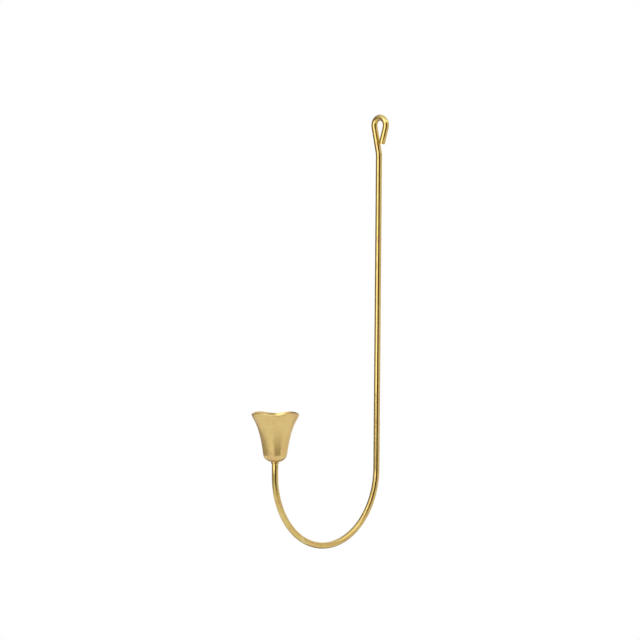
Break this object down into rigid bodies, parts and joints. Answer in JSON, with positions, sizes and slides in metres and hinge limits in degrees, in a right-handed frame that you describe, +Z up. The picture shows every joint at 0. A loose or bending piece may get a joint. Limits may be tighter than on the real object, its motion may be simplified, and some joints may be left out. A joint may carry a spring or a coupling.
{
  "type": "wall candle holder",
  "caption": "Bent brass rod with a nail eye at the top and a J-shaped foot that carries a flared candle cup in front of the wall.",
  "frame": {"origin": "inside top of the eye, where the holder hangs on its nail, on the rod's centre plane", "axes": "+Z up along the stem, -Y out of the wall towards the cup, +X to the right as seen from the front"},
  "size_m": [0.045, 0.1663, 0.4161],
  "materials": {
    "polished_brass": "polished",
    "satin_brass": "satin",
    "fixing_brass": "bright turned"
  },
  "bodies": {
    "root": {"hook_rod": "polished_brass", "neck_collar": "polished_brass", "candle_cup": "satin_brass", "cup_washer": "fixing_brass", "cup_bolt": "fixing_brass"}
  },
  "joints": []
}
